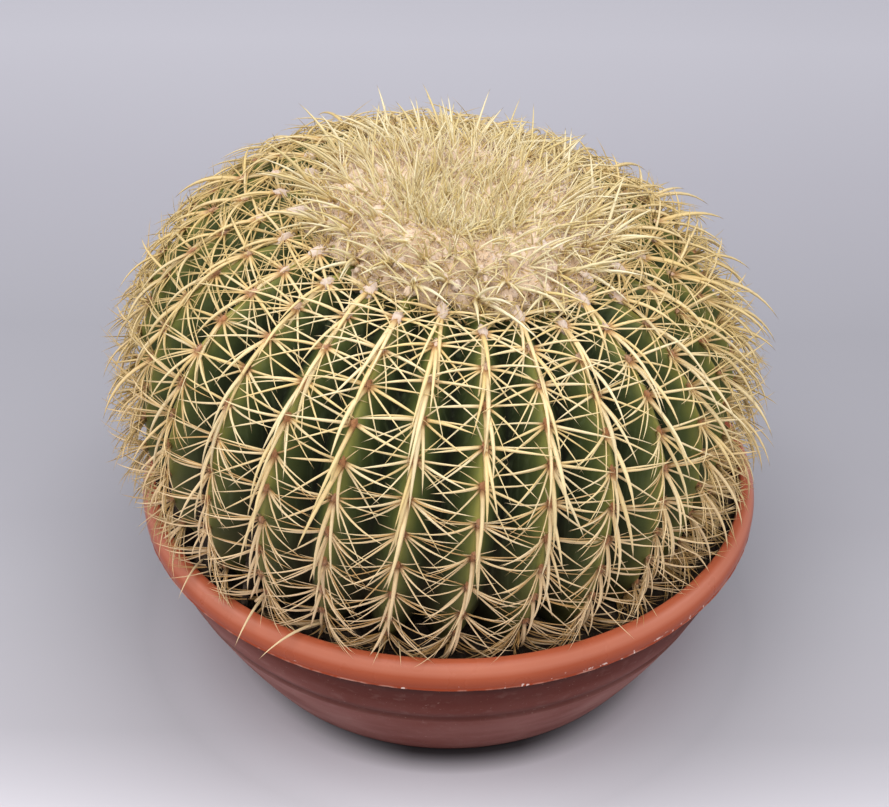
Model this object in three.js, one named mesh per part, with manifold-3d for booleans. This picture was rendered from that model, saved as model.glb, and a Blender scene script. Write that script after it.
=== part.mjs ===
// A round, ribbed golden cactus growing in a terracotta-coloured plastic bowl.
// Millimetres, +Z up. The origin is the middle of the bowl's flat underside,
// and -Y is the side that the plant is looked at from.
import * as THREE from 'three';
import { mergeVertices } from 'three/addons/utils/BufferGeometryUtils.js';
import Module from 'manifold-3d';

const wasm = await Module();
wasm.setup();

// Bowl: one moulding with a rolled rim, a step line round its wall and a flat base
const RIM_RADIUS = 175;
const BOWL_HEIGHT = 110.5;
const RIM_LOWER_EDGE = 94.5;
const RIM_WIDTH = 9.5;
const RIM_CROWN = 168.8;
const RIM_BULGE = 98.5;
const RIM_UNDERCUT = -0.22;
const RIM_INNER_DROP = 4.5;
const RIM_LIP = 0.6;
const BASE_RADIUS = 121;
const BASE_EDGE = 2;
const WALL_TOP_RADIUS = 171.5;
const WALL_BULGE = 4.5;
const WALL = 4;
const FLOOR = 5;
const STEP_HEIGHT = 56.5;
const STEP_DEPTH = 1.2;
const STEP_HALF_WIDTH = 2;
const BOWL_SIDES = 60;
const DRAIN_HOLES = 4;
const DRAIN_RADIUS = 5;
const DRAIN_CIRCLE = 75;
const DRAIN_SIDES = 12;

// Soil: fills the bowl to a little below the rim
const SOIL_TOP = 94;
const SOIL_CROWN = 3;
const SOIL_ROUGHNESS = 1.2;
const SOIL_SLOPE = 0.055;
const SOIL_RINGS_FROM_WALL = [8, 19, 29, 40];
const SOIL_SURFACE = SOIL_TOP + SOIL_CROWN + SOIL_ROUGHNESS;
const GAP = 0.35;

// Plant: a ball of superellipse section, leaning a little to the right and forward
const RIBS = 28;
const BALL_RADIUS = 164.6;
const BALL_HALF_HEIGHT = 112.3;
const TOP_FULLNESS = 2.6;
const LOWER_FULLNESS = 2.55;
const BALL_MIDDLE = new THREE.Vector3(-8.4, 0, 171.4);
const LEAN_RIGHT = 0.125;
const LEAN_FORWARD = 0.03;
const FIRST_RIB = -0.105;
const RIB_DEPTH = 0.55;
const CROWN_DIP = 6;
const CROWN_DIP_RADIUS = 30;
const ROOT_RADIUS = 26;
const ROOT_LENGTH = 40;
const ROOT_TIP_SHARE = 0.2;
const ROOT_TIP_LENGTH = 4;
const BURIED_ARCS = [312, 332, 358, 388, 418];
const SECTION_STEPS = 600;

// Areoles: set along every rib crest, staggered by half a space from rib to rib
const FIRST_AREOLE_ARC = 88;
const AREOLE_SPACING = 20.1;
const AREOLE_ROWS = 22;
const PAD_HALF_WIDTH = 2.0;
const PAD_HALF_HEIGHT = 2.4;
const PAD_RISE = 1.2;
const PAD_SINK = 0.2;
const AREOLE_ABOVE_SOIL = 5;
const NOTCH = 1.0;

// Spines: three-sided needles, four from each areole, longest high on the ribs
const CENTRAL_LENGTH = 50;
const LATERAL_LENGTH = 31;
const UPPER_LENGTH = 21;
const HIGH_STRETCH = 1.12;
const LOW_STRETCH = 0.82;
const STRETCH_ARCS = [130, 260];
const SPINE_SWING = 0.5;
const SPINE_LIFT = 0.5;
const LATERAL_DROOP = 0.1;
const LENGTH_SPREAD = 0.1;
const SPINE_CLEARANCE = 0.5;
const POT_CLEARANCE = 1.5;
const BURIED_SHARE = 0.2;

// Search for a free direction: it starts narrow, and later tries take shorter spines
const SPINE_ATTEMPTS = 160;
const FIRST_SEARCH = 0.3;
const SHORT_AFTER = 0.6;
const SHORT_STRETCH = 0.65;

// Young spines of the crown
const YOUNG_RADIUS = 1.4;
const YOUNG_INSET_SHARE = 0.4;
const YOUNG_LENGTHS = [22.4, 36.4];
const YOUNG_RISES = [0.4, 0.7];
const YOUNG_SWING = 1.2;
const YOUNG_LIFT = 0.3;

// Crown wool: a felt cap over the growing point, which the young spines stand in
const WOOL_ARCS = [0, 14, 26, 38, 50, 62, 74];
const WOOL_THICKNESS = 4.5;
const WOOL_CLEARANCE = 0.55;
const WOOL_SINK = 0.8;
const WOOL_SINK_ARC = 20;
const WOOL_EDGE_SHARE = 0.4;
const WOOL_RING_RISE = 3.5;
const WOOL_RING_ARC = 48;
const WOOL_RING_WIDTH = 18;

const bowlMaterial = new THREE.MeshStandardMaterial({ color: 0xb5583c, roughness: 0.45, metalness: 0 });
const soilMaterial = new THREE.MeshStandardMaterial({ color: 0x2b2018, roughness: 0.95, metalness: 0 });
const fleshMaterial = new THREE.MeshStandardMaterial({ color: 0x4f6a34, roughness: 0.6, metalness: 0 });
const woolMaterial = new THREE.MeshStandardMaterial({ color: 0xd9c08c, roughness: 0.9, metalness: 0 });

// A repeatable random draw between 0 and 1
function randomDraw(seed) {
  let state = seed;
  return () => {
    state = (state + 0x6d2b79f5) | 0;
    let mixed = Math.imul(state ^ (state >>> 15), 1 | state);
    mixed = (mixed + Math.imul(mixed ^ (mixed >>> 7), 61 | mixed)) ^ mixed;
    return ((mixed ^ (mixed >>> 14)) >>> 0) / 4294967296;
  };
}

// Closed surfaces, gathered vertex by vertex
class Surface {
  constructor() {
    this.positions = [];
    this.faces = [];
  }

  vertex(point) {
    this.positions.push(point.x, point.y, point.z);
    return this.positions.length / 3 - 1;
  }

  point(index) {
    return new THREE.Vector3().fromArray(this.positions, 3 * index);
  }

  face(a, b, c) {
    this.faces.push(a, b, c);
  }

  quad(a, b, c, d) {
    this.face(a, b, c);
    this.face(a, c, d);
  }

  // A needle raised from a face: three sides that meet at its tip
  needle([a, b, c], tip) {
    const top = this.vertex(tip);
    this.face(a, b, top);
    this.face(b, c, top);
    this.face(c, a, top);
  }

  // A smaller face inside a face, with a collar of six round it
  inset([a, b, c], size) {
    const corners = [a, b, c].map((index) => this.point(index));
    const centre = new THREE.Vector3();
    corners.forEach((corner) => centre.addScaledVector(corner, 1 / 3));
    const inner = corners.map((corner) => {
      const share = Math.min(YOUNG_INSET_SHARE, size / corner.distanceTo(centre));
      return this.vertex(centre.clone().lerp(corner, share));
    });
    this.quad(a, b, inner[1], inner[0]);
    this.quad(b, c, inner[2], inner[1]);
    this.quad(c, a, inner[0], inner[2]);
    return inner;
  }

  geometry() {
    const result = new THREE.BufferGeometry();
    result.setAttribute('position', new THREE.Float32BufferAttribute(this.positions, 3));
    result.setIndex(this.faces);
    return result;
  }
}

function geometryToSolid(geometry) {
  const bare = geometry.clone();
  bare.deleteAttribute('normal');
  bare.deleteAttribute('uv');
  const merged = mergeVertices(bare, 1e-3);
  const faces = [];
  for (let i = 0; i < merged.index.count; i += 3) {
    const [a, b, c] = [0, 1, 2].map((corner) => merged.index.getX(i + corner));
    if (a !== b && b !== c && c !== a) faces.push(a, b, c);
  }
  const mesh = new wasm.Mesh({
    numProp: 3,
    vertProperties: new Float32Array(merged.attributes.position.array),
    triVerts: new Uint32Array(faces),
  });
  return new wasm.Manifold(mesh);
}

function solidToGeometry(solid) {
  const mesh = solid.getMesh();
  const geometry = new THREE.BufferGeometry();
  geometry.setAttribute('position', new THREE.Float32BufferAttribute(mesh.vertProperties, 3));
  geometry.setIndex(Array.from(mesh.triVerts));
  return geometry;
}

function turned(profile, sides) {
  const points = profile.map(([radius, height]) => new THREE.Vector2(radius, height));
  return new THREE.LatheGeometry(points, sides).rotateX(Math.PI / 2);
}

// Bowl

function outerWallRadius(height) {
  const share = height / RIM_LOWER_EDGE;
  return BASE_RADIUS + (WALL_TOP_RADIUS - BASE_RADIUS) * share + WALL_BULGE * 4 * share * (1 - share);
}

function innerWallRadius(height) {
  return outerWallRadius(height) - WALL;
}

function spread(from, to, count) {
  return Array.from({ length: count }, (_, i) => from + ((to - from) * i) / (count - 1));
}

function makeBowl() {
  const onWall = (z) => [outerWallRadius(z), z];
  const lowerWall = spread(BASE_EDGE, STEP_HEIGHT - STEP_HALF_WIDTH, 3).map(onWall);
  const step = [[outerWallRadius(STEP_HEIGHT) - STEP_DEPTH, STEP_HEIGHT]];
  const upperWall = spread(STEP_HEIGHT + STEP_HALF_WIDTH, RIM_LOWER_EDGE, 3).map(onWall);
  const rimInside = RIM_RADIUS - RIM_WIDTH;
  const outerRoll = spread(RIM_UNDERCUT, Math.PI / 2, 6).map((turn) => [
    RIM_CROWN + (RIM_RADIUS - RIM_CROWN) * Math.cos(turn),
    RIM_BULGE + (BOWL_HEIGHT - RIM_BULGE) * Math.sin(turn),
  ]);
  const innerRoll = spread(0, Math.PI / 2, 4).slice(1).map((turn) => [
    RIM_CROWN - (RIM_CROWN - rimInside) * Math.sin(turn),
    BOWL_HEIGHT - RIM_INNER_DROP * (1 - Math.cos(turn)),
  ]);
  const innerWall = spread(RIM_LOWER_EDGE, FLOOR + BASE_EDGE, 4).map((z) => [innerWallRadius(z), z]);
  const profile = [
    [0, 0],
    [BASE_RADIUS - BASE_EDGE, 0],
    ...lowerWall,
    ...step,
    ...upperWall,
    [RIM_RADIUS - RIM_LIP, RIM_LOWER_EDGE],
    ...outerRoll,
    ...innerRoll,
    ...innerWall,
    [innerWallRadius(FLOOR) - BASE_EDGE, FLOOR],
    [0, FLOOR],
  ];
  let bowl = geometryToSolid(turned(profile, BOWL_SIDES));
  for (let i = 0; i < DRAIN_HOLES; i += 1) {
    const turn = (2 * Math.PI * (i + 0.5)) / DRAIN_HOLES;
    const drill = new THREE.CylinderGeometry(DRAIN_RADIUS, DRAIN_RADIUS, 4 * FLOOR, DRAIN_SIDES);
    drill.rotateX(Math.PI / 2);
    drill.translate(DRAIN_CIRCLE * Math.cos(turn), DRAIN_CIRCLE * Math.sin(turn), 0);
    bowl = bowl.subtract(geometryToSolid(drill));
  }
  return solidToGeometry(bowl);
}

// Plant surface: rib crests follow the ball's section, valleys lie below it

function ballSection(angle) {
  const across = Math.abs(Math.sin(angle));
  const along = Math.abs(Math.cos(angle));
  const fullness = Math.cos(angle) > 0 ? TOP_FULLNESS : LOWER_FULLNESS;
  const reach = (across ** fullness + along ** fullness) ** (-1 / fullness);
  const radius = BALL_RADIUS * across * reach;
  const dip = CROWN_DIP * Math.exp(-((radius / CROWN_DIP_RADIUS) ** 2));
  const height = BALL_HALF_HEIGHT * along * reach * Math.sign(Math.cos(angle));
  return new THREE.Vector2(radius, Math.cos(angle) > 0 ? height - dip : height);
}

const section = [{ arc: 0, point: ballSection(0) }];
for (let i = 1; i <= SECTION_STEPS; i += 1) {
  const point = ballSection((Math.PI * i) / SECTION_STEPS);
  const last = section[i - 1];
  section.push({ arc: last.arc + point.distanceTo(last.point), point });
}

// Point and outward normal of the crest line at an arc length from the crown
function crestLine(arc) {
  const next = Math.min(Math.max(section.findIndex((sample) => sample.arc > arc), 1), SECTION_STEPS);
  const [low, high] = [section[next - 1], section[next]];
  const along = high.point.clone().sub(low.point).normalize();
  const point = low.point.clone().addScaledVector(along, arc - low.arc);
  return { point, normal: new THREE.Vector2(-along.y, along.x), along };
}

const lean = new THREE.Matrix4()
  .makeRotationX(LEAN_FORWARD)
  .multiply(new THREE.Matrix4().makeRotationY(LEAN_RIGHT))
  .setPosition(BALL_MIDDLE);

// From a radius and height in the plant's section to a point in the bowl's frame
function place(azimuth, radius, height) {
  const point = new THREE.Vector3(radius * Math.sin(azimuth), -radius * Math.cos(azimuth), height);
  return point.applyMatrix4(lean);
}

function crestFrame(azimuth, arc) {
  const { point, normal, along } = crestLine(arc);
  const origin = place(azimuth, point.x, point.y);
  const out = place(azimuth, point.x + normal.x, point.y + normal.y).sub(origin);
  const down = place(azimuth, point.x + along.x, point.y + along.y).sub(origin);
  return { origin, out, down, side: new THREE.Vector3().crossVectors(out, down) };
}

const COLUMNS = 2 * RIBS;
const columnAzimuth = (column) => FIRST_RIB + (Math.PI * column) / RIBS;
const areoleArcs = Array.from({ length: AREOLE_ROWS }, (_, i) => FIRST_AREOLE_ARC + (AREOLE_SPACING / 2) * i);
const rowArcs = [...WOOL_ARCS.slice(1), ...areoleArcs, ...BURIED_ARCS];

function isAreole(row, column) {
  const areoleRow = row - (WOOL_ARCS.length - 1);
  const onRow = areoleRow >= 0 && areoleRow < AREOLE_ROWS;
  const onCrest = onRow && column % 2 === 0 && (areoleRow + column / 2) % 2 === 0;
  const lowest = SOIL_SURFACE + AREOLE_ABOVE_SOIL;
  return onCrest && crestFrame(columnAzimuth(column), rowArcs[row]).origin.z > lowest;
}

function valleyDepth(arc) {
  const spacing = (2 * Math.PI * crestLine(arc).point.x) / RIBS;
  const flattening = THREE.MathUtils.smoothstep(arc, 0, FIRST_AREOLE_ARC);
  return RIB_DEPTH * spacing * flattening;
}

function fleshPoint(row, column, lift = 0) {
  const arc = rowArcs[row];
  const { origin, out } = crestFrame(columnAzimuth(column), arc);
  if (column % 2 === 1) return origin.addScaledVector(out, lift - valleyDepth(arc));
  const areoleRow = row - (WOOL_ARCS.length - 1);
  const notched = areoleRow >= 0 && areoleRow < AREOLE_ROWS && !isAreole(row, column);
  return origin.addScaledVector(out, lift - (notched ? NOTCH : 0));
}

// Rows of points round an axis, joined into a tube and closed by a point at each end
function wrap(surface, top, rows, bottom, columns) {
  for (let c = 0; c < columns; c += 1) {
    const next = (c + 1) % columns;
    surface.face(top, rows[0][c], rows[0][next]);
    for (let r = 0; r + 1 < rows.length; r += 1) {
      surface.quad(rows[r][c], rows[r + 1][c], rows[r + 1][next], rows[r][next]);
    }
    surface.face(rows[rows.length - 1][c], bottom, rows[rows.length - 1][next]);
  }
}

// Root stub below the ball: radius and depth under the ball's lowest point
const rootRings = spread(0, 1, 4).map((share) => ({
  radius: ROOT_RADIUS * (1 - (1 - ROOT_TIP_SHARE) * share),
  height: -BALL_HALF_HEIGHT - (ROOT_LENGTH - ROOT_TIP_LENGTH) * share,
}));

// The hole that the plant stands in, hugging the rib crests with a small gap
function plantEnvelope() {
  const surface = new Surface();
  const azimuths = Array.from({ length: RIBS }, (_, rib) => columnAzimuth(2 * rib));
  const rows = rowArcs.map((arc) => azimuths.map((azimuth) => {
    const { origin, out } = crestFrame(azimuth, arc);
    return surface.vertex(origin.addScaledVector(out, GAP));
  }));
  rootRings.forEach(({ radius, height }) => {
    rows.push(azimuths.map((azimuth) => surface.vertex(place(azimuth, radius + GAP, height - GAP))));
  });
  const top = surface.vertex(place(0, 0, BALL_HALF_HEIGHT));
  const bottom = surface.vertex(place(0, 0, -BALL_HALF_HEIGHT - ROOT_LENGTH - GAP));
  wrap(surface, top, rows, bottom, RIBS);
  return surface.geometry();
}

// Soil

function makeSoil() {
  const draw = randomDraw(11);
  const bottom = FLOOR + GAP;
  const side = spread(bottom + BASE_EDGE, SOIL_TOP, 4).map((z) => [innerWallRadius(z) - GAP, z]);
  const profile = [[0, bottom], [innerWallRadius(FLOOR) - BASE_EDGE - GAP, bottom], ...side];
  const edgeRadius = innerWallRadius(SOIL_TOP) - GAP;
  SOIL_RINGS_FROM_WALL.forEach((way) => {
    profile.push([edgeRadius - way, SOIL_TOP + SOIL_SLOPE * way + SOIL_ROUGHNESS * draw()]);
  });
  profile.push([0, SOIL_TOP + SOIL_CROWN]);
  const soil = geometryToSolid(turned(profile, BOWL_SIDES));
  return solidToGeometry(soil.subtract(geometryToSolid(plantEnvelope())));
}

// Spines

const placedSpines = [];
const padCentres = [];
for (let row = 0; row < rowArcs.length; row += 1) {
  for (let column = 0; column < COLUMNS; column += 2) {
    if (isAreole(row, column)) padCentres.push(crestFrame(columnAzimuth(column), rowArcs[row]).origin);
  }
}

// Half the thickness of a spine beside a point of its middle line
function spineWidth(spine, point) {
  return spine.width * Math.max(0, 1 - point.distanceTo(spine.line.start) / spine.line.distance());
}

function gapBetween(one, other) {
  const [near, far] = [new THREE.Vector3(), new THREE.Vector3()];
  const distance = Math.sqrt(one.line.distanceSqToLine3(other.line, near, far));
  return distance - spineWidth(one, near) - spineWidth(other, far);
}

function gapToPad(spine, centre) {
  const near = spine.line.closestPointToPoint(centre, true, new THREE.Vector3());
  return near.distanceTo(centre) - spineWidth(spine, near) - PAD_HALF_HEIGHT;
}

// Room that a point leaves to the soil below it and to the rim round it
function roomInPot(point) {
  const radius = Math.hypot(point.x, point.y);
  const overRim = radius > RIM_RADIUS - RIM_WIDTH - 2 * POT_CLEARANCE;
  const floor = overRim ? BOWL_HEIGHT : SOIL_SURFACE;
  const besideRim = radius - RIM_RADIUS;
  return Math.max(point.z - floor, besideRim);
}

function isClear(spine) {
  const nearby = (point) => point.distanceTo(spine.line.start) < 2 * CENTRAL_LENGTH;
  const apart = placedSpines.every((other) => {
    const skipped = other.root === spine.root || !nearby(other.line.start);
    return skipped || gapBetween(spine, other) > SPINE_CLEARANCE;
  });
  const overPads = apart && padCentres.every((centre) => {
    const own = centre.distanceTo(spine.line.start) < 2 * PAD_HALF_HEIGHT;
    return own || !nearby(centre) || gapToPad(spine, centre) > SPINE_CLEARANCE;
  });
  return overPads && spread(BURIED_SHARE, 1, 12).every((share) => {
    return roomInPot(spine.line.at(share, new THREE.Vector3())) > POT_CLEARANCE;
  });
}

// Looks for a direction near the wanted one that meets no other spine
function findSpine(frame, root, wanted, draw) {
  const start = root.middle;
  for (let attempt = 0; attempt < SPINE_ATTEMPTS; attempt += 1) {
    const share = attempt / SPINE_ATTEMPTS;
    const width = FIRST_SEARCH + (1 - FIRST_SEARCH) * share;
    const bearing = wanted.bearing + wanted.swing * width * (2 * draw() - 1);
    const rise = wanted.rise + wanted.lift * (FIRST_SEARCH + share) * draw();
    const stretch = share < SHORT_AFTER ? 1 : SHORT_STRETCH;
    const length = wanted.length * (1 + LENGTH_SPREAD * (2 * draw() - 1)) * stretch;
    const direction = new THREE.Vector3()
      .addScaledVector(frame.down, Math.cos(bearing) * Math.cos(rise))
      .addScaledVector(frame.side, Math.sin(bearing) * Math.cos(rise))
      .addScaledVector(frame.out, Math.sin(rise));
    const line = new THREE.Line3(start, start.clone().addScaledVector(direction, length));
    const spine = { root: root.name, width: root.width, line };
    if (isClear(spine)) return spine;
  }
  return null;
}

// Bearings run from the downward direction (0) towards the right-hand side
const spineKinds = {
  bottom: { bearing: 0, rise: 0.22, length: CENTRAL_LENGTH },
  right: { bearing: Math.PI / 2 - LATERAL_DROOP, rise: 0.2, length: LATERAL_LENGTH },
  left: { bearing: LATERAL_DROOP - Math.PI / 2, rise: 0.2, length: LATERAL_LENGTH },
  top: { bearing: Math.PI, rise: 0.5, length: UPPER_LENGTH },
};

function centralLength(arc) {
  const low = THREE.MathUtils.smoothstep(arc, ...STRETCH_ARCS);
  return CENTRAL_LENGTH * THREE.MathUtils.lerp(HIGH_STRETCH, LOW_STRETCH, low);
}

// Middle of a root face, and the reach from there to its corners
function rootOf(surface, face, name) {
  const corners = face.map((index) => surface.point(index));
  const middle = new THREE.Vector3();
  corners.forEach((corner) => middle.addScaledVector(corner, 1 / 3));
  const width = Math.max(...corners.map((corner) => corner.distanceTo(middle)));
  return { name, middle, width };
}

// Raises a spine from a face, or leaves the face closed where no direction is free
function raiseSpine(surface, frame, face, name, wanted, draw) {
  const spine = findSpine(frame, rootOf(surface, face, name), wanted, draw);
  if (!spine) {
    surface.face(...face);
    return;
  }
  placedSpines.push(spine);
  surface.needle(face, spine.line.end);
}

function raiseAreole(surface, row, column, draw) {
  const frame = crestFrame(columnAzimuth(column), rowArcs[row]);
  const corner = (sideways, downwards) => surface.vertex(frame.origin.clone()
    .addScaledVector(frame.side, sideways * PAD_HALF_WIDTH)
    .addScaledVector(frame.down, downwards * PAD_HALF_HEIGHT)
    .addScaledVector(frame.out, -PAD_SINK));
  const pad = {
    upperLeft: corner(-1, -1),
    upperRight: corner(1, -1),
    lowerLeft: corner(-1, 1),
    lowerRight: corner(1, 1),
  };
  const centre = surface.vertex(frame.origin.clone().addScaledVector(frame.out, PAD_RISE));
  const faces = {
    bottom: [centre, pad.lowerLeft, pad.lowerRight],
    right: [centre, pad.lowerRight, pad.upperRight],
    left: [centre, pad.upperLeft, pad.lowerLeft],
    top: [centre, pad.upperRight, pad.upperLeft],
  };
  Object.entries(spineKinds).forEach(([kind, wanted]) => {
    const length = kind === 'bottom' ? centralLength(rowArcs[row]) : wanted.length;
    const reach = { swing: SPINE_SWING, lift: SPINE_LIFT, length };
    raiseSpine(surface, frame, faces[kind], centre, { ...wanted, ...reach }, draw);
  });
  return pad;
}

// Ribbed flesh with an areole pad at every other crossing of a crest and a row
function makeCactus() {
  const surface = new Surface();
  const draw = randomDraw(28);
  const columns = Array.from({ length: COLUMNS }, (_, column) => column);
  const grid = rowArcs.map((_, row) => columns.map((column) => {
    if (!isAreole(row, column)) return { only: surface.vertex(fleshPoint(row, column)) };
    return raiseAreole(surface, row, column, draw);
  }));
  rootRings.forEach(({ radius, height }) => {
    const ring = columns.map((column) => place(columnAzimuth(column), radius, height));
    grid.push(ring.map((point) => ({ only: surface.vertex(point) })));
  });
  const corner = (node, name) => node.only ?? node[name];
  const top = surface.vertex(place(0, 0, ballSection(0).y));
  const bottom = surface.vertex(place(0, 0, -BALL_HALF_HEIGHT - ROOT_LENGTH));
  columns.forEach((column) => {
    const next = (column + 1) % COLUMNS;
    surface.face(top, grid[0][column].only, grid[0][next].only);
    surface.face(grid[grid.length - 1][column].only, bottom, grid[grid.length - 1][next].only);
    for (let row = 0; row < grid.length; row += 1) {
      const [here, right, below] = [grid[row][column], grid[row][next], grid[row + 1]?.[column]];
      if (below) {
        const acrossBelow = grid[row + 1][next];
        surface.quad(
          corner(here, 'lowerRight'),
          corner(below, 'upperRight'),
          corner(acrossBelow, 'upperLeft'),
          corner(right, 'lowerLeft'),
        );
      }
      if (here.only === undefined) {
        const [left, above] = [grid[row][(column + COLUMNS - 1) % COLUMNS], grid[row - 1][column]];
        surface.face(corner(above, 'lowerLeft'), here.upperLeft, here.upperRight);
        surface.face(corner(below, 'upperLeft'), here.lowerRight, here.lowerLeft);
        surface.face(left.only, here.lowerLeft, here.upperLeft);
        surface.face(right.only, here.upperRight, here.lowerRight);
      }
    }
  });
  return surface.geometry();
}

// Crown wool

function woolThickness(arc) {
  const ring = WOOL_RING_RISE * Math.exp(-(((arc - WOOL_RING_ARC) / WOOL_RING_WIDTH) ** 2));
  const edge = THREE.MathUtils.smoothstep(arc, WOOL_RING_ARC, WOOL_ARCS[WOOL_ARCS.length - 1]);
  return WOOL_THICKNESS * THREE.MathUtils.lerp(1, WOOL_EDGE_SHARE, edge) + ring;
}

function makeWool() {
  const surface = new Surface();
  const draw = randomDraw(7);
  const columns = Array.from({ length: COLUMNS }, (_, column) => column);
  const lastArc = WOOL_ARCS[WOOL_ARCS.length - 1];
  const under = WOOL_ARCS.slice(1).map((_, row) => columns.map((column) => {
    return surface.vertex(fleshPoint(row, column, WOOL_CLEARANCE));
  }));
  const over = WOOL_ARCS.slice(1).map((arc) => columns.map((column) => {
    const { origin, out } = crestFrame(columnAzimuth(column), arc);
    const settling = THREE.MathUtils.smoothstep(arc, WOOL_SINK_ARC, lastArc);
    const sink = column % 2 === 0 ? 0 : WOOL_SINK * valleyDepth(arc) * settling;
    return surface.vertex(origin.addScaledVector(out, WOOL_CLEARANCE + woolThickness(arc) - sink));
  }));
  const middle = ballSection(0).y + WOOL_CLEARANCE;
  const underTop = surface.vertex(place(0, 0, middle));
  const overTop = surface.vertex(place(0, 0, middle + woolThickness(0)));
  const last = over.length - 1;
  columns.forEach((column) => {
    const next = (column + 1) % COLUMNS;
    surface.face(underTop, under[0][next], under[0][column]);
    surface.face(overTop, over[0][column], over[0][next]);
    surface.quad(over[last][column], under[last][column], under[last][next], over[last][next]);
    for (let row = 0; row < last; row += 1) {
      surface.quad(under[row][column], under[row][next], under[row + 1][next], under[row + 1][column]);
      const [here, right] = [over[row][column], over[row][next]];
      const [below, across] = [over[row + 1][column], over[row + 1][next]];
      surface.face(here, across, right);
      const spined = (Math.floor(column / 2) + row + column) % 2 === 0;
      if (!spined) {
        surface.face(here, below, across);
      } else {
        raiseYoungSpine(surface, [here, below, across], row, column, draw);
      }
    }
  });
  return surface.geometry();
}

function raiseYoungSpine(surface, face, row, column, draw) {
  const root = surface.inset(face, YOUNG_RADIUS);
  const frame = crestFrame(columnAzimuth(column + 0.5), WOOL_ARCS[row + 1]);
  const wanted = {
    bearing: 0,
    swing: YOUNG_SWING,
    rise: THREE.MathUtils.lerp(...YOUNG_RISES, draw()),
    lift: YOUNG_LIFT,
    length: THREE.MathUtils.lerp(...YOUNG_LENGTHS, draw()),
  };
  raiseSpine(surface, frame, root, `young ${root[0]}`, wanted, draw);
}

function part(name, geometry, material) {
  const mesh = new THREE.Mesh(geometry, material);
  mesh.name = name;
  return mesh;
}

const pottedCactus = new THREE.Group();
pottedCactus.add(
  part('bowl', makeBowl(), bowlMaterial),
  part('soil', makeSoil(), soilMaterial),
  part('cactus', makeCactus(), fleshMaterial),
  part('crown_wool', makeWool(), woolMaterial),
);

export default pottedCactus;
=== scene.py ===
"""A round golden cactus in a terracotta-coloured plastic bowl, dressed for a soft studio view.

Shapes are worked out in millimetres and made in metres, +Z up, and materials measure in metres.
The plant is looked at from -Y, where its azimuths start. A quarter turn on is +X.
"""

import math

import bpy
import numpy as np
from mathutils import Matrix, Vector, noise


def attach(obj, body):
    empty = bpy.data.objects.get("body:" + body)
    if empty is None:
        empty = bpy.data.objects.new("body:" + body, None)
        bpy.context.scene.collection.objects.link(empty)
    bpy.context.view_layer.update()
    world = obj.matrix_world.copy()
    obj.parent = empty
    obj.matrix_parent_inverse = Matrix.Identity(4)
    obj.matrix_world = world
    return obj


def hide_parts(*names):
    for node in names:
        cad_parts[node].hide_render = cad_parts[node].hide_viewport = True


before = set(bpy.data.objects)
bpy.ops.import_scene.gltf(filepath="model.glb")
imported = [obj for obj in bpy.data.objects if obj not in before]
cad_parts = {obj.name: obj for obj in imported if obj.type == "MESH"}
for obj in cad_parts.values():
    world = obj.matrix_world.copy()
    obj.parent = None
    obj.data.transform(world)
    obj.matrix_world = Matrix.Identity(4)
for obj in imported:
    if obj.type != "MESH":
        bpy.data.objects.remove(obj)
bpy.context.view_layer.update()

MM = 0.001

# Camera, as the photograph was taken
CAMERA_PLACE = (-2.934 * MM, -1005.175 * MM, 875.931 * MM)
CAMERA_TARGET = (-2.93 * MM, 0.0, 151.4 * MM)
CAMERA_ROLL = math.radians(0.77)
CAMERA_LENS = 89.13
SENSOR_WIDTH = 36.0

# Bowl
RIM_RADIUS = 175.0
BOWL_HEIGHT = 110.5
RIM_LOWER_EDGE = 94.5
RIM_WIDTH = 9.5
RIM_CROWN = 167.0
RIM_BULGE = 100.0
RIM_ROLL_START = -0.40
RIM_INNER_DROP = 4.5
BASE_RADIUS = 121.0
BASE_EDGE = 2.0
WALL_TOP_RADIUS = 171.5
WALL_BULGE = 4.5
WALL = 4.0
FLOOR = 5.0
STEP_HEIGHT = 56.5
STEP_DEPTH = 1.2
BOWL_COLUMNS = 288
DRAIN_HOLES = 4
DRAIN_RADIUS = 5.0
DRAIN_CIRCLE = 75.0
DRAIN_SIDES = 40
FLOOR_RINGS = (60.0, 100.0)

# Way in from the rim's radius, and height over its lower edge
RIM_SKIRT = ((1.9, -0.1), (0.9, 0.1), (0.3, 0.6), (0.5, 1.2))

# Height over the step's line, and depth there as a share of the step's
STEP_SHAPE = (
    (-1.8, -0.25), (-0.8, 0.15), (0.1, 0.75), (1.1, 1.0), (2.4, 0.85), (4.2, 0.45), (6.2, 0.12),
)

# Soil
SOIL_TOP = 94.0
SOIL_GAP = 0.35
SOIL_CRUMBS = 2600
CRUMB_SIZE = 2.2

# Plant: a ball of superellipse section, leaning a little to the right and forward
RIBS = 28
BALL_RADIUS = 164.6
BALL_HALF_HEIGHT = 112.3
TOP_FULLNESS = 2.6
LOWER_FULLNESS = 2.55
BALL_MIDDLE = np.array([-8.4, 0.0, 171.4])
LEAN_RIGHT = 0.125
LEAN_FORWARD = 0.03
FIRST_RIB = -0.105
RIB_DEPTH = 0.55
CREST_ROUNDING = 0.14
STRAIGHT_FLANK = 0.72
NOTCH = 1.3
SWELL = 1.1
CROWN_DIP = 6.0
CROWN_DIP_RADIUS = 30.0
ROOT_RADIUS = 26.0
ROOT_LENGTH = 40.0
RIB_COLUMNS = 18

# Areoles: along every rib crest, staggered by half a space from rib to rib
FIRST_AREOLE_ARC = 88.0
AREOLE_SPACING = 20.1
AREOLE_ROWS = 22
SOIL_SURFACE = 98.2
AREOLE_ABOVE_SOIL = 5.0
AREOLE_HAIRS = 14

# Felt mounds at size 1
MOUND_HALF_WIDTH = 1.8
MOUND_HALF_LENGTH = 3.3
MOUND_HEIGHT = 2.1
MOUND_SUNK = 1.1
MOUND_TOP = 1.2

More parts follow.
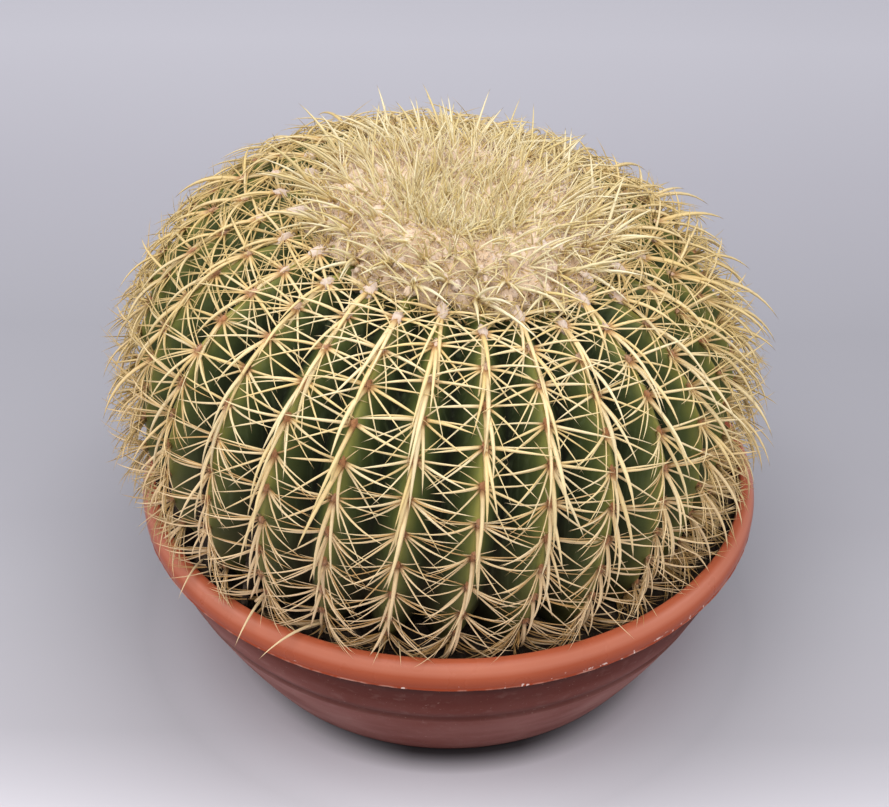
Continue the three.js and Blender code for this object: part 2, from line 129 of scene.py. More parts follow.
# Crown wool and the young areoles in it
WOOL_EDGE_ARC = 82.0
FELT_EDGE_ARC = 84.0
WOOL_THICKNESS = 4.5
WOOL_RING_ARC = 48.0
YOUNG_ARCS = (78.0, 69.0, 60.5, 52.5, 45.0, 38.0, 31.5, 25.5)
YOUNG_SPINES = 16
YOUNG_CENTRAL_SPINES = 4
TUFT_SPINES = 460
TUFT_RADIUS = 34.0
TUFT_FORWARD = 9.0
WOOL_FIBRES = 4000
UNDERFUR_SPINES = 2300
UNDERFUR_ARC = 93.0
CROWN_FLATNESS = 0.85

# Studio
FLOOR_RADIUS = 9000.0
FLOOR_SIDES = 96
AIR_COLOUR = (0.90, 0.91, 1.0, 1.0)
AIR_STRENGTH = 0.33
LIGHT_AIM = (0.0, 0.0, 0.15)

# Name, place, width and height, and power
SOFTBOXES = (
    ("key_softbox", (-0.06, -0.74, 1.80), (1.5, 1.0), 20.8),
    ("top_softbox", (0.0, 0.20, 2.0), (1.8, 1.4), 15.0),
    ("front_strip", (-0.15, -1.60, 1.40), (1.5, 0.4), 6.0),
    ("left_softbox", (-2.00, -0.20, 1.30), (1.2, 1.2), 17.5),
    ("right_softbox", (2.00, -0.20, 1.30), (1.2, 1.2), 14.0),
)


# Mesh helpers


def unit(vectors):
    return vectors / np.maximum(np.linalg.norm(vectors, axis=-1, keepdims=True), 1e-12)


def full_turn(parts):
    return np.linspace(0, math.tau, parts, endpoint=False)


def around(turn):
    """Level directions, turned from +X towards +Y."""
    return np.stack([np.cos(turn), np.sin(turn), np.zeros_like(turn)], axis=-1)


def grid(rows, columns):
    """The row's and the column's value at every point of a grid."""
    return (part.ravel() for part in np.meshgrid(rows, columns, indexing="ij"))


def smoothstep(value, low, high):
    share = np.clip((value - low) / (high - low), 0.0, 1.0)
    return share * share * (3 - 2 * share)


def noise_at(points, size, seed):
    """Smooth noise, about -1 to 1, that varies over that size."""
    shift = Vector((seed * 7.13, seed * 3.71, seed * 5.39))
    return np.array([noise.noise(Vector(point) / size + shift) for point in points])


def add_object(name, data):
    made = bpy.data.objects.new(name, data)
    bpy.context.scene.collection.objects.link(made)
    return made


def make_mesh(name, points, faces, values=None, smooth=True):
    """A mesh object from points in millimetres and arrays of faces of one kind each."""
    mesh = bpy.data.meshes.new(name)
    corners = np.concatenate([group.ravel() for group in faces])
    totals = np.concatenate([np.full(len(group), group.shape[1]) for group in faces])
    starts = np.concatenate([[0], np.cumsum(totals)[:-1]])
    mesh.vertices.add(len(points))
    mesh.vertices.foreach_set("co", (points * MM).astype(np.float32).ravel())
    mesh.loops.add(len(corners))
    mesh.loops.foreach_set("vertex_index", corners.astype(np.int32))
    mesh.polygons.add(len(totals))
    mesh.polygons.foreach_set("loop_start", starts.astype(np.int32))
    mesh.polygons.foreach_set("use_smooth", np.full(len(totals), smooth))
    mesh.update(calc_edges=True)
    for key, column in (values or {}).items():
        attribute = mesh.attributes.new(key, "FLOAT", "POINT")
        attribute.data.foreach_set("value", column.astype(np.float32))
    return add_object(name, mesh)


def ring_faces(first, second):
    """Quads between two closed rings of point numbers."""
    after = np.roll(first, -1), np.roll(second, -1)
    return np.stack([first, second, after[1], after[0]], axis=1)


def wrapped_faces(rows, columns):
    """Quads of a grid that closes on itself across its columns."""
    rings = np.arange(rows * columns).reshape(rows, columns)
    return np.concatenate([ring_faces(rings[r], rings[r + 1]) for r in range(rows - 1)])


def fan_faces(centre, ring, turned=False):
    """Triangles from one point to every side of a ring."""
    after = np.roll(ring, -1)
    middle = np.full(len(ring), centre)
    return np.stack([middle, after, ring] if turned else [middle, ring, after], axis=1)


def skin_faces(rows, columns, turned=False):
    """A closed skin over a grid and the two points after it, which close its first and last row."""
    quads = wrapped_faces(rows, columns)
    ring = np.arange(columns)
    return [
        quads[:, ::-1] if turned else quads,
        fan_faces(rows * columns, ring, turned),
        fan_faces(rows * columns + 1, (rows - 1) * columns + ring, not turned),
    ]


def dress(piece, node, material):
    piece.data.materials.append(material)
    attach(piece, "root")
    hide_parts(node)


def make_copies(name, node, material, bodies, ends, values, along=(), turned=False):
    """One piece of many closed forms, each of rings of points and one point at its end.

    The values have one number for each form, and along has one for each point of a form.
    """
    count, rings, sides, _ = bodies.shape
    points = np.concatenate([bodies.reshape(count, -1, 3), ends[:, None]], axis=1)
    size = points.shape[1]
    quads, root = wrapped_faces(rings, sides), np.arange(sides)[None]
    if turned:
        quads, root = quads[:, ::-1], root[:, ::-1]
    tips = fan_faces(size - 1, (rings - 1) * sides + np.arange(sides), not turned)
    first = size * np.arange(count)[:, None, None]
    faces = [(group + first).reshape(-1, group.shape[1]) for group in (quads, tips, root)]
    columns = {key: np.repeat(column, size) for key, column in values.items()}
    if len(along):
        columns["along"] = np.tile(along, count)
    piece = make_mesh(name, points.reshape(-1, 3), faces, columns)
    dress(piece, node, material)


# Plant shape


def ball_section():
    """Arc length, radius and height down the rib crest line, from crown to base."""
    angle = np.linspace(0, math.pi, 1201)
    across, along = np.abs(np.sin(angle)), np.abs(np.cos(angle))
    upper = angle < math.pi / 2
    fullness = np.where(upper, TOP_FULLNESS, LOWER_FULLNESS)
    reach = (across**fullness + along**fullness) ** (-1 / fullness)
    radius = BALL_RADIUS * across * reach
    dip = CROWN_DIP * np.exp(-((radius / CROWN_DIP_RADIUS) ** 2))
    height = BALL_HALF_HEIGHT * along * reach
    height = np.where(upper, height - dip, -height)
    steps = np.hypot(np.diff(radius), np.diff(height))
    return np.concatenate([[0], np.cumsum(steps)]), radius, height


SECTION_ARC, SECTION_RADIUS, SECTION_HEIGHT = ball_section()
FULL_ARC = SECTION_ARC[-1]
LOWEST_ARC = FULL_ARC - 30
LEAN = np.array(Matrix.Rotation(LEAN_FORWARD, 3, "X") @ Matrix.Rotation(LEAN_RIGHT, 3, "Y"))


def crest_radius(arc):
    return np.interp(arc, SECTION_ARC, SECTION_RADIUS)


def crest_height(arc):
    return np.interp(arc, SECTION_ARC, SECTION_HEIGHT)


def turned_out(azimuth, radial, height):
    """A vector of the leaning plant, from its parts away from the axis and along it."""
    parts = np.broadcast_arrays(radial * np.sin(azimuth), -radial * np.cos(azimuth), height)
    return np.stack(parts, axis=-1) @ LEAN.T


def crest_frame(azimuth, arc):
    """Origin on the crest surface, and the directions out of it, down it and to its right."""
    azimuth, arc = np.broadcast_arrays(azimuth, arc)
    low, high = np.clip(arc - 1.0, 0, FULL_ARC), np.clip(arc + 1.0, 0, FULL_ARC)
    along_r = crest_radius(high) - crest_radius(low)
    along_h = crest_height(high) - crest_height(low)
    size = np.hypot(along_r, along_h)
    along_r, along_h = along_r / size, along_h / size
    origin = BALL_MIDDLE + turned_out(azimuth, crest_radius(arc), crest_height(arc))
    out = turned_out(azimuth, -along_h, along_r)
    down = turned_out(azimuth, along_r, along_h)
    return origin, out, down, np.cross(out, down)


def rib_azimuth(rib):
    return FIRST_RIB + math.tau * np.asarray(rib) / RIBS


def valley_depth(arc):
    spacing = math.tau * crest_radius(arc) / RIBS
    return RIB_DEPTH * spacing * smoothstep(arc, 0, FIRST_AREOLE_ARC)


def rib_position(azimuth):
    """The nearest rib, and the way from its crest (0) to the valley (1)."""
    turn = (azimuth - FIRST_RIB) * RIBS / math.tau
    rib = np.round(turn)
    return rib.astype(int), 2 * np.abs(turn - rib)


def flesh_surface(azimuth, arc, lift=0.0):
    """Points of the ribbed skin, with its crests notched between the areoles."""
    rib, way = rib_position(azimuth)
    origin, out = crest_frame(azimuth, arc)[:2]
    straight = np.sqrt(way**2 + CREST_ROUNDING**2) - CREST_ROUNDING
    straight = straight / (math.sqrt(1 + CREST_ROUNDING**2) - CREST_ROUNDING)
    profile = STRAIGHT_FLANK * straight + (1 - STRAIGHT_FLANK) * smoothstep(way, 0, 1)
    phase = (arc - FIRST_AREOLE_ARC) / AREOLE_SPACING + 0.5 * (rib % 2)
    wave = np.cos(math.tau * phase)
    beside = smoothstep(arc, FIRST_AREOLE_ARC - 20, FIRST_AREOLE_ARC) * smoothstep(arc, 330, 290)
    notch = NOTCH * (0.5 - 0.5 * wave) * beside * (1 - way) ** 2
    swell = SWELL * wave * beside * np.sin(math.pi * way) ** 2 * (1 - way)
    depth = valley_depth(arc) * profile + notch - swell
    return origin + out * (lift - depth)[..., None]


def areoles(lowest=SOIL_SURFACE + AREOLE_ABOVE_SOIL, highest=math.inf, crowded=False):
    """Rib and arc of every areole between two heights, or of twice as many where crowded."""
    found = []
    for row in range(AREOLE_ROWS):
        arc = FIRST_AREOLE_ARC + row * AREOLE_SPACING / 2
        for rib in range(RIBS):
            origin = crest_frame(rib_azimuth(rib), arc)[0]
            if (crowded or (row + rib) % 2 == 0) and lowest < origin[2] < highest:
                found.append((rib, arc))
    return np.array(found)


# Materials


class Paint:
    """A material whose nodes are being joined up."""

    def __init__(self, name):
        self.material = bpy.data.materials.new(name)
        self.material.use_nodes = True
        self.tree = self.material.node_tree
        self.shader = self.tree.nodes["Principled BSDF"].inputs
        self.place = self.node("ShaderNodeTexCoord").outputs["Object"]

    def put(self, socket, value):
        """Links a socket to another, or sets its own value."""
        if isinstance(value, bpy.types.NodeSocket):
            self.tree.links.new(value, socket)
        else:
            socket.default_value = (*value, 1.0) if socket.type == "RGBA" else value

    def node(self, kind, inputs=(), **settings):
        made = self.tree.nodes.new(kind)
        for key, value in settings.items():
            setattr(made, key, value)
        for key, value in dict(inputs).items():
            self.put(made.inputs[key], value)
        return made

    def axis(self, name):
        return self.node("ShaderNodeSeparateXYZ", {0: self.place}).outputs[name]

    def value(self, name):
        """A number that the mesh has at each of its points."""
        return self.node("ShaderNodeAttribute", attribute_name=name).outputs["Fac"]

    def noise(self, scale, detail=3.0, stretch=(1, 1, 1)):
        mapping = self.node("ShaderNodeMapping", {"Vector": self.place, "Scale": stretch})
        inputs = {"Vector": mapping.outputs["Vector"], "Scale": scale, "Detail": detail}
        return self.node("ShaderNodeTexNoise", inputs).outputs["Fac"]

    def calc(self, operation, *values):
        return self.node("ShaderNodeMath", enumerate(values), operation=operation).outputs[0]

    def times(self, product, *factors):
        for factor in factors:
            product = self.calc("MULTIPLY", product, factor)
        return product

    def fade(self, source, low, high, bottom=0.0, top=1.0):
        """Goes from bottom to top while the source goes from low to high."""
        inputs = enumerate((source, low, high, bottom, top))
        return self.node("ShaderNodeMapRange", inputs).outputs["Result"]

    def band(self, source, rise, fall):
        """1 in between, faded in over one span of the source and out over another."""
        return self.times(self.fade(source, *rise), self.fade(source, *fall))

    def ramp(self, source, *stops):
        made = self.node("ShaderNodeValToRGB", {"Fac": source})
        elements = made.color_ramp.elements
        while len(elements) < len(stops):
            elements.new(0.5)
        for element, (position, colour) in zip(elements, stops):
            element.position = position
            element.color = (*colour, 1.0)
        return made.outputs["Color"]

    def mix(self, share, first, second):
        inputs = {0: share, 6: first, 7: second}
        return self.node("ShaderNodeMix", inputs, data_type="RGBA").outputs[2]

    def layers(self, tint, *coats):
        """Lays each colour over those before it, by its share."""
        for share, colour in coats:
            tint = self.mix(share, tint, colour)
        return tint

    def finish(self, tint, roughness, specular, grain=None):
        """Joins the shader up, with a bump of that noise scale, detail, strength and distance."""
        inputs = {"Base Color": tint, "Roughness": roughness, "Specular IOR Level": specular}
        if grain:
            scale, detail, strength, distance = grain
            bump = {"Height": self.noise(scale, detail), "Strength": strength, "Distance": distance}
            inputs["Normal"] = self.node("ShaderNodeBump", bump).outputs["Normal"]
        for key, value in inputs.items():
            self.put(self.shader[key], value)
        return self.material


def bowl_material():
    """Moulded plastic: a worn rim with a painted highlight on its ridge and painted shade on its
    lower side, its nicked lower edge, and a wall in painted shade, with a painted shadow under the
    rim, dust, dust haze that is partly painted light, and painted shade at its foot and in the step's
    groove.
    """
    mat = Paint("moulded_terracotta_plastic")
    height, side = mat.axis("Z"), mat.axis("X")
    below_rim = mat.fade(height, 0.095, 0.094)
    # On the left the wall's bands are read lower: less painted shade and more hazy painted light
    # there.
    left_painted_light_shift = mat.fade(side, -0.14, -0.05, 0.024, 0.0)
    painted_light_level = mat.calc("SUBTRACT", height, left_painted_light_shift)
    plastic = mat.ramp(mat.noise(14.0), (0.3, (0.39, 0.084, 0.034)), (0.7, (0.45, 0.106, 0.046)))
    # Painted highlight: a paler band along the rim's ridge.
    ridge_painted_highlight = mat.times(mat.band(height, (0.103, 0.106), (0.11, 0.1085)), 0.26)
    # Painted shade: the rim's lower side is darker.
    rim_side_painted_shade = mat.fade(height, 0.1045, 0.095, 0.0, 0.75)
    # Painted shade: the whole wall below the rim is far darker than the rim's own plastic.
    wall = mat.times(below_rim, 0.85)
    shaded = mat.times(below_rim, mat.fade(painted_light_level, 0.056, 0.094, 0.0, 0.88))
    # Painted shadow: a near-black band just under the rim, fainter on the left.
    under_rim_painted_shadow = mat.times(
        below_rim,
        mat.fade(height, 0.0855, 0.094, 0.0, 0.8),
        mat.fade(side, -0.13, -0.03, 0.2, 1.0),
    )
    # Pale haze: dust, and painted light that is stronger on the flanks, on the left and low on the
    # wall.
    dust_haze_and_painted_light = mat.times(
        mat.fade(mat.noise(22.0, 5.0, (1, 1, 3)), 0.35, 0.65, 0.45, 1.0),
        mat.fade(painted_light_level, 0.076, 0.036, 0.04, 0.87),
        mat.fade(mat.calc("ABSOLUTE", side), 0.02, 0.08, 0.62, 1.3),
    )
    dust = mat.times(
        mat.fade(mat.noise(150.0, 5.0), 0.56, 0.7, 0.0, 0.18),
        mat.fade(height, 0.092, 0.08),
    )
    # Painted shade: darker at the very foot of the wall.
    foot_painted_shade = mat.fade(height, 0.004, 0.0, 0.0, 0.5)
    # Painted shade darkens the step's groove.
    groove = mat.times(mat.band(height, (0.053, 0.0562), (0.066, 0.0575)), 0.52)
    specks = mat.times(mat.fade(mat.noise(620.0, 2.0), 0.69, 0.74), below_rim, 0.3)
    scuffs = mat.times(
        mat.band(height, (0.096, 0.0955), (0.0942, 0.0945)),
        mat.fade(mat.noise(130.0, 6.0, (1, 1, 0.3)), 0.46, 0.64, 0.0, 0.5),
    )
    unchipped = mat.fade(side, -0.02, 0.05, 0.72, 0.625)
    nicks = mat.times(
        mat.band(height, (0.1, 0.097), (0.094, 0.0943)),
        mat.fade(mat.calc("SUBTRACT", mat.noise(250.0), unchipped), 0.0, 0.03),
    )
    tint = mat.layers(
        plastic,
        (ridge_painted_highlight, (0.74, 0.36, 0.26)),
        (rim_side_painted_shade, (0.26, 0.03, 0.006)),
        (wall, (0.118, 0.02, 0.013)),
        (shaded, (0.062, 0.009, 0.004)),
        (under_rim_painted_shadow, (0.012, 0.002, 0.001)),
        (dust_haze_and_painted_light, (0.33, 0.15, 0.13)),
        (dust, (0.32, 0.18, 0.155)),
        (foot_painted_shade, (0.05, 0.018, 0.015)),
        (groove, (0.05, 0.02, 0.017)),
        (specks, (0.52, 0.34, 0.28)),
        (scuffs, (0.62, 0.36, 0.28)),
        (nicks, (0.72, 0.52, 0.45)),
    )
    polish = mat.fade(mat.noise(45.0, 4.0), 0.3, 0.7, 0.25, 0.34)
    roughness = mat.calc("ADD", polish, mat.times(below_rim, 0.34))
    return mat.finish(tint, roughness, 0.13, (260.0, 4.0, 0.12, 0.0006))


def soil_material():
    mat = Paint("potting_soil")
    tint = mat.ramp(
        mat.noise(170.0, 6.0),
        (0.32, (0.01, 0.007, 0.005)),
        (0.55, (0.038, 0.026, 0.018)),
        (0.72, (0.095, 0.066, 0.045)),
    )
    return mat.finish(tint, 0.95, 0.2, (900.0, 4.0, 0.5, 0.0008))


def flesh_material():
    """Waxy skin: yellow-green crests, partly painted light, dark green to black valleys, partly
    painted shade, and browner low down.
    """
    mat = Paint("cactus_skin")
    groove, age = mat.value("groove"), mat.value("age")
    mottle = mat.noise(38.0, 4.0)
    # Across the rib the skin's green carries painted light on the crests and painted shade that
    # deepens the valleys to black.
    skin = mat.ramp(
        mat.calc("ADD", groove, mat.fade(mottle, 0.0, 1.0, -0.16, 0.16)),
        (0.0, (0.34, 0.31, 0.075)),
        (0.13, (0.185, 0.195, 0.045)),
        (0.36, (0.074, 0.094, 0.025)),
        (0.7, (0.027, 0.037, 0.012)),
        (1.0, (0.006, 0.007, 0.003)),
    )
    streaks = mat.fade(mat.noise(300.0, 3.0, (1, 1, 0.06)), 0.52, 0.75, 0.0, 0.3)
    tint = mat.layers(
        skin,
        (streaks, (0.13, 0.16, 0.08)),
        (mat.times(age, 0.62), (0.058, 0.044, 0.022)),
    )
    waxy = mat.fade(mottle, 0.3, 0.7, 0.42, 0.56)
    roughness = mat.calc("ADD", waxy, mat.fade(groove, 0.3, 0.9, 0.0, 0.35))
    return mat.finish(tint, roughness, 0.16, (420.0, 4.0, 0.18, 0.0006))


def spine_material(name, golden, cream, old, unlit_painted_shade):
    """Horny spines: brown foot, golden to cream shaft, dulled by painted shade where they take no
    painted light, and darker tip.
    """
    mat = Paint(name)
    along, tone, age, painted_light = (mat.value(key) for key in ("along", "tone", "age", "painted_light"))
    flush = mat.times(mat.fade(along, 0.04, 0.28, 0.55, 0.0), mat.fade(age, 0.0, 1.0, 1.0, 0.35))
    foot = mat.mix(age, (0.42, 0.19, 0.07), (0.22, 0.085, 0.035))
    mottle = mat.fade(mat.noise(240.0), 0.35, 0.75, 0.0, 0.25)
    # Spines without painted light, on the flanks and back, are dulled towards tan by painted shade.
    tint = mat.layers(
        mat.mix(tone, golden, cream),
        (mat.fade(age, 0.35, 1.0), old),
        (mat.fade(painted_light, 0.0, 1.0, unlit_painted_shade, 0.0), (0.55, 0.385, 0.13)),
        (flush, (0.62, 0.38, 0.12)),
        (mat.fade(along, 0.02, 0.11, 0.85, 0.0), foot),
        (mat.fade(along, 0.86, 1.0, 0.0, 0.55), (0.42, 0.24, 0.11)),
        (mottle, (0.52, 0.36, 0.19)),
    )
    return mat.finish(tint, 0.42, 0.45, (700.0, 2.0, 0.2, 0.0004))


def wool_material(name, key, *stops):
    """Matted wool, coloured by one of the mesh's values."""
    mat = Paint(name)
    mottle = mat.fade(mat.noise(130.0, 4.0), 0.3, 0.7, -0.2, 0.2)
    tint = mat.ramp(mat.calc("ADD", mat.value(key), mottle), *stops)
    mat.put(mat.shader["Sheen Weight"], 0.25)
    return mat.finish(tint, 0.95, 0.15, (1400.0, 3.0, 0.5, 0.0006))


def paper_material():
    """Pale paper in painted light: a painted falloff, paler in front and far off than behind the
    bowl, painted shade on the right, painted light round the bowl's foot, and a painted contact
    shadow where the two meet.
    """
    mat = Paint("studio_paper")
    side, depth = mat.axis("X"), mat.axis("Y")
    gap = mat.node("ShaderNodeVectorMath", {0: mat.place}, operation="LENGTH").outputs["Value"]
    # Painted falloff of light: paler in front, darkest behind the bowl, paler again far off.
    paper = mat.ramp(
        mat.fade(depth, -0.3, 0.9),
        (0.08, (0.69, 0.67, 0.71)),
        (0.13, (0.53, 0.513, 0.551)),
        (0.16, (0.45, 0.436, 0.469)),
        (0.27, (0.41, 0.402, 0.436)),
        (0.32, (0.375, 0.367, 0.401)),
        (0.5, (0.345, 0.34, 0.375)),
        (0.68, (0.43, 0.42, 0.465)),
        (0.88, (0.55, 0.54, 0.59)),
    )
    # Painted shade to the right, and random mottling.
    paper = mat.layers(
        paper,
        (mat.fade(side, 0.05, 0.3, 0.0, 0.04), (0.1, 0.1, 0.11)),
        (mat.fade(mat.noise(2.0), 0.3, 0.7, 0.0, 0.12), (0.42, 0.41, 0.45)),
    )
    # Painted light: the paper is paler close round the bowl's foot and a little dimmer just beyond.
    painted_light_by_bowl = mat.fade(gap, 0.14, 0.18, 1.25, 0.92)
    lift = mat.calc("ADD", painted_light_by_bowl, mat.fade(gap, 0.2, 0.3, 0.0, 0.06))
    paper_with_painted_foot_light = mat.node("ShaderNodeVectorMath", {0: paper, "Scale": lift}, operation="SCALE")
    # Painted contact shadow under the bowl's front, a little right of the middle.
    off_middle = mat.calc("ABSOLUTE", mat.calc("SUBTRACT", side, 0.012))
    painted_contact_shadow = mat.times(
        mat.fade(off_middle, 0.03, 0.11, 1.0, 0.0),
        mat.fade(depth, -0.02, -0.06),
        mat.fade(gap, 0.1235, 0.14, 0.97, 0.0),
    )
    tint = mat.layers(
        paper_with_painted_foot_light.outputs[0],
        # a painted contact shade all round the foot
        (mat.fade(gap, 0.1195, 0.131, 0.4, 0.0), (0.08, 0.07, 0.075)),
        (painted_contact_shadow, (0.05, 0.042, 0.045)),
    )
    return mat.finish(tint, 0.75, 0.25)


# Bowl


def outer_wall(height):
    share = height / RIM_LOWER_EDGE
    bulge = WALL_BULGE * 4 * share * (1 - share)
    return BASE_RADIUS + (WALL_TOP_RADIUS - BASE_RADIUS) * share + bulge


def wall_points(heights, inwards=0.0):
    return [(outer_wall(height) - inwards, height) for height in heights]


def roll_points(middle, height, reach, rise, turns):
    return [(middle + reach * math.cos(turn), height + rise * math.sin(turn)) for turn in turns]


def bowl_profile():
    """Radius and height round the bowl's section, from the middle below to the middle inside."""
    reach, rise = RIM_RADIUS - RIM_CROWN, BOWL_HEIGHT - RIM_BULGE
    inner_reach = RIM_CROWN - (RIM_RADIUS - RIM_WIDTH)
    inner_height = BOWL_HEIGHT - RIM_INNER_DROP
    foot_turns = np.linspace(-math.pi / 2, 0, 6)
    rim_turns = np.linspace(RIM_ROLL_START, math.pi / 2, 16)
    inner_turns = np.linspace(math.pi / 2, math.pi, 8)[1:]
    return np.array([
        (0.0, 0.0),
        *((radius, 0.0) for radius in FLOOR_RINGS),
        *roll_points(BASE_RADIUS - BASE_EDGE, BASE_EDGE, BASE_EDGE, BASE_EDGE, foot_turns),
        *wall_points(np.linspace(FLOOR, STEP_HEIGHT - 4.0, 14)),
        *(wall_points([STEP_HEIGHT + up], STEP_DEPTH * sunk)[0] for up, sunk in STEP_SHAPE),
        *wall_points(np.linspace(STEP_HEIGHT + 8.5, RIM_LOWER_EDGE - 0.4, 12)),
        *((RIM_RADIUS - inwards, RIM_LOWER_EDGE + up) for inwards, up in RIM_SKIRT),
        *roll_points(RIM_CROWN, RIM_BULGE, reach, rise, rim_turns),
        *roll_points(RIM_CROWN, inner_height, inner_reach, RIM_INNER_DROP, inner_turns),
        *wall_points(np.linspace(RIM_LOWER_EDGE + 1, FLOOR + BASE_EDGE, 14), WALL),
        *wall_points([FLOOR], WALL + BASE_EDGE),
        (FLOOR_RINGS[0], FLOOR),
        (0.0, FLOOR),
    ])


def make_bowl(material):
    profile = bowl_profile()
    directions = around(full_turn(BOWL_COLUMNS))
    radius, height = (np.repeat(profile[1:-1, [i]], BOWL_COLUMNS, axis=1) for i in (0, 1))
    ripple = noise_at(directions * 60, 25.0, 3) * 0.25
    radius = radius + ripple * (height > STEP_HEIGHT)
    chips = noise_at(directions * RIM_RADIUS, 5.0, 5) * 0.4
    edge = (np.abs(height - RIM_LOWER_EDGE - 0.6) < 0.8) & (radius > RIM_RADIUS - 1.4)
    radius = radius + edge * chips
    points = radius[..., None] * directions + height[..., None] * [0, 0, 1]
    points = np.vstack([points.reshape(-1, 3), [[0, 0, 0], [0, 0, FLOOR]]])
    faces = skin_faces(len(profile) - 2, BOWL_COLUMNS, turned=True)
    bowl = make_mesh("bowl_moulding", points, faces)
    drill_holes(bowl)
    dress(bowl, "bowl", material)


def drill_holes(bowl):
    """Round drainage holes through the bowl's floor."""
    ring = around(full_turn(DRAIN_SIDES)) * DRAIN_RADIUS
    points, walls, caps = [], [], []
    for middle in around(full_turn(DRAIN_HOLES) + math.pi / DRAIN_HOLES) * DRAIN_CIRCLE:
        first = len(points) * DRAIN_SIDES + np.arange(DRAIN_SIDES)
        points += [middle + ring + [0, 0, z] for z in (2 * FLOOR, -FLOOR)]
        walls.append(ring_faces(first, first + DRAIN_SIDES))
        caps += [first, (first + DRAIN_SIDES)[::-1]]
    drill = make_mesh("drill", np.concatenate(points), [np.concatenate(walls), np.array(caps)])
    cut = bowl.modifiers.new("holes", "BOOLEAN")
    cut.operation, cut.object, cut.solver = "DIFFERENCE", drill, "EXACT"
    graph = bpy.context.evaluated_depsgraph_get()
    bored = bpy.data.meshes.new_from_object(bowl.evaluated_get(graph))
    bowl.modifiers.clear()
    bowl.data = bored
    bpy.data.objects.remove(drill)


# Flesh


def make_flesh(material):
    share = np.arange(RIB_COLUMNS) / RIB_COLUMNS
    crowding = 0.35 / math.tau
    within = share - crowding * np.sin(math.tau * share)
    azimuth = rib_azimuth(np.arange(RIBS)[:, None] + within).ravel()
    spans = ((3, 84, 18), (86, 330, 86), (335, LOWEST_ARC, 12))
    arcs = np.concatenate([np.linspace(*span) for span in spans])
    grid_arc, grid_azimuth = grid(arcs, azimuth)
    skin = flesh_surface(grid_azimuth, grid_arc)
    lumps = noise_at(skin, 24.0, 2) * 0.7 + noise_at(skin, 9.0, 4) * 0.25
    skin = skin + crest_frame(grid_azimuth, grid_arc)[1] * lumps[:, None]
    root_sizes = np.linspace((ROOT_RADIUS, 0), (0.2 * ROOT_RADIUS, ROOT_LENGTH - 4), 4)
    root = [
        BALL_MIDDLE + turned_out(azimuth, radius, -BALL_HALF_HEIGHT - depth)
        for radius, depth in root_sizes
    ]
    tip = BALL_MIDDLE + turned_out(0.0, 0.0, -BALL_HALF_HEIGHT - ROOT_LENGTH)
    points = np.vstack([skin, *root, crest_frame(0.0, 0.0)[0], tip])
    extra = len(points) - len(skin)
    values = {
        "groove": np.append(rib_position(grid_azimuth)[1], np.full(extra, 0.5)),
        "age": np.append(smoothstep(grid_arc, 190, 300), np.ones(extra)),
    }
    faces = skin_faces(len(arcs) + len(root), len(azimuth))
    flesh = make_mesh("cactus_flesh", points, faces, values)
    dress(flesh, "cactus", material)


# Soil


def soil_rim():
    """Where the ribbed skin enters the soil, column by column."""
    azimuth = FIRST_RIB + full_turn(RIBS * 16)
    arcs = np.linspace(240, 340, 401)
    grid_arc, grid_azimuth = grid(arcs, azimuth)
    skin = flesh_surface(grid_azimuth, grid_arc, SOIL_GAP).reshape(len(arcs), len(azimuth), 3)
    row = np.argmax(skin[..., 2] < SOIL_TOP + 2, axis=0)
    return azimuth, arcs[row], skin[row, np.arange(len(azimuth))]


def make_soil(material):
    azimuth, rim_arc, rim = soil_rim()
    columns = len(azimuth)
    outward = around(np.arctan2(rim[:, 1], rim[:, 0]))

    def by_the_wall(height, inwards=0.0):
        radius = outer_wall(height) - WALL - inwards - SOIL_GAP
        return outward * radius + [0, 0, height]

    shares = np.linspace(0, 1, 22)
    wall_top = by_the_wall(SOIL_TOP)
    surface = np.concatenate([rim * (1 - share) + wall_top * share for share in shares])
    grain = noise_at(surface, 7.0, 6) * 1.3 + noise_at(surface, 2.6, 8)
    inside = np.sin(math.pi * np.clip(shares * 0.9 + 0.1, 0, 1)) ** 0.5
    surface[:, 2] += grain * np.repeat(inside, columns)
    side = [by_the_wall(height) for height in np.linspace(SOIL_TOP - 8, FLOOR + 2.4, 6)]
    base = by_the_wall(FLOOR, BASE_EDGE) + [0, 0, SOIL_GAP]
    depth = -BALL_HALF_HEIGHT - 2
    hole = [
        flesh_surface(azimuth, rim_arc * (1 - share) + LOWEST_ARC * share, SOIL_GAP + share)
        for share in np.linspace(0, 1, 7)[1:]
    ]
    hole.append(BALL_MIDDLE + turned_out(azimuth, ROOT_RADIUS + 1.5, depth))
    hole.append(BALL_MIDDLE + turned_out(azimuth, 8.0, depth - ROOT_LENGTH + 2))
    hole_end = BALL_MIDDLE + turned_out(0.0, 0.0, depth - ROOT_LENGTH + 1)
    points = np.vstack([*hole[::-1], surface, *side, base, hole_end, [0, 0, FLOOR + SOIL_GAP]])
    soil = make_mesh("soil_bed", points, skin_faces(len(points) // columns, columns))
    dress(soil, "soil", material)
    crumbs = make_crumbs(surface[2 * columns : -columns])
    dress(crumbs, "soil", material)


